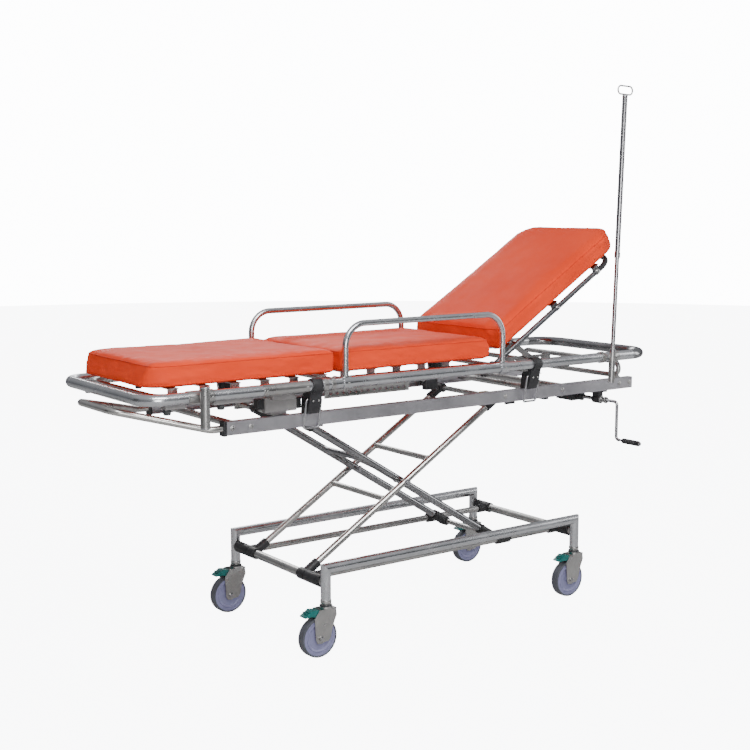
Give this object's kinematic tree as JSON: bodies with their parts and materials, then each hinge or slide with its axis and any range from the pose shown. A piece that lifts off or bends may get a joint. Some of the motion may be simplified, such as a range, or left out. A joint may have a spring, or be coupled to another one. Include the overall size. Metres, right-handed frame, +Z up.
{
  "type": "ambulance cot",
  "caption": "Ambulance cot with a crank-raised scissor undercarriage, lift-off stretcher, tilting backrest, folding arm rails and a drip pole.",
  "frame": {"origin": "on the floor below the centre of the wheeled base", "axes": "+X to the head end, -Y to the crank side, +Z up"},
  "size_m": [2.0555, 0.729, 1.7672],
  "materials": {
    "bright_tube": "satin anodised tube",
    "pale_tube": "pale powder coat",
    "grey_tube": "grey powder coat",
    "channel": "pale grey",
    "steel": "brushed",
    "chrome": "polished",
    "black_plastic": "satin black",
    "wheel_plastic": "lilac grey",
    "tyre_rubber": "grey rubber",
    "teal_plastic": "teal",
    "brass": "plain",
    "pad_vinyl": "orange red coated fabric"
  },
  "bodies": {
    "base": {"base_sides": "bright_tube", "crossbars": "steel", "slide_rails": "steel", "rail_tees": "black_plastic"},
    "castor_near_foot": {"fork_near_foot": "steel"},
    "wheel_near_foot": {"wheel_near_foot": "wheel_plastic", "tyre_near_foot": "tyre_rubber"},
    "pedal_near_foot": {"pedal_near_foot": "teal_plastic"},
    "castor_near_head": {"fork_near_head": "steel"},
    "wheel_near_head": {"wheel_near_head": "wheel_plastic", "tyre_near_head": "tyre_rubber"},
    "pedal_near_head": {"pedal_near_head": "teal_plastic"},
    "castor_far_foot": {"fork_far_foot": "steel"},
    "wheel_far_foot": {"wheel_far_foot": "wheel_plastic", "tyre_far_foot": "tyre_rubber"},
    "pedal_far_foot": {"pedal_far_foot": "teal_plastic"},
    "castor_far_head": {"fork_far_head": "steel"},
    "wheel_far_head": {"wheel_far_head": "wheel_plastic", "tyre_far_head": "tyre_rubber"},
    "pedal_far_head": {"pedal_far_head": "teal_plastic"},
    "outer_leg": {"outer_legs": "pale_tube", "outer_leg_tees": "black_plastic", "crossing_bolts": "steel"},
    "inner_leg": {"inner_legs": "grey_tube", "inner_leg_tees": "black_plastic", "inner_leg_bracing": "grey_tube"},
    "base_slide": {"slide_shaft": "steel", "slide_bushes": "black_plastic"},
    "top_slide": {"top_shaft": "steel", "top_sliders": "black_plastic", "lift_nut": "brass"},
    "carriage": {"side_channels": "channel", "channel_end_caps": "black_plastic", "channel_bolts": "steel", "cross_tubes": "steel", "foot_loop": "pale_tube", "gearbox": "black_plastic", "main_tubes": "bright_tube", "foot_bow": "bright_tube", "head_bow": "grey_tube", "frame_collars": "steel", "clamp_saddles": "black_plastic", "deck_frame": "steel", "seat_pad": "pad_vinyl", "pole_sockets": "steel", "ratchet_rack": "steel"},
    "crank": {"crank": "chrome"},
    "crank_grip": {"crank_grip": "black_plastic"},
    "lead_screw": {"lead_screw": "steel"},
    "backrest": {"back_frame": "grey_tube", "back_pad": "pad_vinyl"},
    "back_stay": {"back_stay": "steel"},
    "leg_section": {"leg_frame": "pale_tube", "leg_pad": "pad_vinyl"},
    "arm_near": {"arm_rail_near": "bright_tube"},
    "arm_far": {"arm_rail_far": "bright_tube"},
    "bails_near": {"bails_near": "chrome"},
    "bails_far": {"bails_far": "chrome"},
    "iv_pole": {"iv_pole": "chrome"},
    "iv_extension": {"iv_extension": "chrome"}
  },
  "joints": [
    {"name": "swivel_near_foot", "type": "hinge", "parent": "base", "child": "castor_near_foot", "pos_m": [-0.525, -0.272, 0.17], "axis": [0, 0, 1], "continuous": true},
    {"name": "roll_near_foot", "type": "hinge", "parent": "castor_near_foot", "child": "wheel_near_foot", "pos_m": [-0.556, -0.272, 0.0625], "axis": [0, 1, 0], "continuous": true},
    {"name": "brake_near_foot", "type": "hinge", "parent": "castor_near_foot", "child": "pedal_near_foot", "pos_m": [-0.549, -0.272, 0.139], "axis": [0, 1, 0], "range_deg": [-12, 0]},
    {"name": "swivel_near_head", "type": "hinge", "parent": "base", "child": "castor_near_head", "pos_m": [0.525, -0.272, 0.17], "axis": [0, 0, 1], "continuous": true},
    {"name": "roll_near_head", "type": "hinge", "parent": "castor_near_head", "child": "wheel_near_head", "pos_m": [0.494, -0.272, 0.0625], "axis": [0, 1, 0], "continuous": true},
    {"name": "brake_near_head", "type": "hinge", "parent": "castor_near_head", "child": "pedal_near_head", "pos_m": [0.501, -0.272, 0.139], "axis": [0, 1, 0], "range_deg": [-12, 0]},
    {"name": "swivel_far_foot", "type": "hinge", "parent": "base", "child": "castor_far_foot", "pos_m": [-0.525, 0.272, 0.17], "axis": [0, 0, 1], "continuous": true},
    {"name": "roll_far_foot", "type": "hinge", "parent": "castor_far_foot", "child": "wheel_far_foot", "pos_m": [-0.556, 0.272, 0.0625], "axis": [0, 1, 0], "continuous": true},
    {"name": "brake_far_foot", "type": "hinge", "parent": "castor_far_foot", "child": "pedal_far_foot", "pos_m": [-0.549, 0.272, 0.139], "axis": [0, 1, 0], "range_deg": [-12, 0]},
    {"name": "swivel_far_head", "type": "hinge", "parent": "base", "child": "castor_far_head", "pos_m": [0.525, 0.272, 0.17], "axis": [0, 0, 1], "continuous": true},
    {"name": "roll_far_head", "type": "hinge", "parent": "castor_far_head", "child": "wheel_far_head", "pos_m": [0.494, 0.272, 0.0625], "axis": [0, 1, 0], "continuous": true},
    {"name": "brake_far_head", "type": "hinge", "parent": "castor_far_head", "child": "pedal_far_head", "pos_m": [0.501, 0.272, 0.139], "axis": [0, 1, 0], "range_deg": [-12, 0]},
    {"name": "lift", "type": "hinge", "parent": "base", "child": "outer_leg", "pos_m": [-0.525, 0, 0.225], "axis": [0, 1, 0], "range_deg": [-4, 23]},
    {"name": "leg_crossing", "type": "hinge", "parent": "outer_leg", "child": "inner_leg", "pos_m": [-0.13197, 0, 0.46746], "axis": [0, 1, 0], "range_deg": [-46, 8]},
    {"name": "top_pivot", "type": "hinge", "parent": "inner_leg", "child": "carriage", "pos_m": [-0.525, 0, 0.70991], "axis": [0, 1, 0], "range_deg": [-4, 23]},
    {"name": "base_runner", "type": "hinge", "parent": "inner_leg", "child": "base_slide", "pos_m": [0.26106, 0, 0.225], "axis": [0, 1, 0], "range_deg": [-4, 23]},
    {"name": "top_runner", "type": "hinge", "parent": "outer_leg", "child": "top_slide", "pos_m": [0.26106, 0, 0.70991], "axis": [0, 1, 0], "range_deg": [-23, 4]},
    {"name": "crank_turn", "type": "hinge", "parent": "carriage", "child": "crank", "pos_m": [0.672, -0.25, 0.678], "axis": [0, 1, 0], "continuous": true},
    {"name": "grip_turn", "type": "hinge", "parent": "crank", "child": "crank_grip", "pos_m": [0.672, -0.387, 0.545], "axis": [0, 1, 0], "continuous": true},
    {"name": "screw_turn", "type": "hinge", "parent": "carriage", "child": "lead_screw", "pos_m": [0.45, -0.092, 0.686], "axis": [1, 0, 0], "continuous": true},
    {"name": "back_tilt", "type": "hinge", "parent": "carriage", "child": "backrest", "pos_m": [0.184, 0, 0.833], "axis": [0, -1, 0], "range_deg": [-32, 23]},
    {"name": "stay_fold", "type": "hinge", "parent": "backrest", "child": "back_stay", "pos_m": [0.29001, 0, 0.89924], "axis": [0, -1, 0], "range_deg": [-46, 64]},
    {"name": "leg_raise", "type": "hinge", "parent": "carriage", "child": "leg_section", "pos_m": [-0.449, 0, 0.833], "axis": [0, 1, 0], "range_deg": [0, 15]},
    {"name": "arm_fold_near", "type": "hinge", "parent": "carriage", "child": "arm_near", "pos_m": [-0.1375, -0.274, 0.833], "axis": [1, 0, 0], "range_deg": [0, 170]},
    {"name": "arm_fold_far", "type": "hinge", "parent": "carriage", "child": "arm_far", "pos_m": [-0.1375, 0.274, 0.833], "axis": [1, 0, 0], "range_deg": [-170, 0]},
    {"name": "bail_swing_near", "type": "hinge", "parent": "carriage", "child": "bails_near", "pos_m": [-0.12, -0.268, 0.792], "axis": [1, 0, 0], "range_deg": [-75, 0]},
    {"name": "bail_swing_far", "type": "hinge", "parent": "carriage", "child": "bails_far", "pos_m": [-0.12, 0.268, 0.792], "axis": [1, 0, 0], "range_deg": [0, 75]},
    {"name": "pole_turn", "type": "hinge", "parent": "carriage", "child": "iv_pole", "pos_m": [0.664, -0.302, 0.833], "axis": [0.0349, 0, 0.9994], "continuous": true},
    {"name": "pole_extend", "type": "slide", "parent": "iv_pole", "child": "iv_extension", "axis": [0.0349, 0, 0.9994], "range_m": [-0.3, 0]}
  ],
  "couplings": [
    {"joint": "leg_crossing", "follows": "lift", "ratio": -2},
    {"joint": "top_pivot", "follows": "lift", "ratio": 1},
    {"joint": "base_runner", "follows": "lift", "ratio": 1},
    {"joint": "top_runner", "follows": "lift", "ratio": -1},
    {"joint": "screw_turn", "follows": "crank_turn", "ratio": 1},
    {"joint": "stay_fold", "follows": "back_tilt", "ratio": -2}
  ]
}
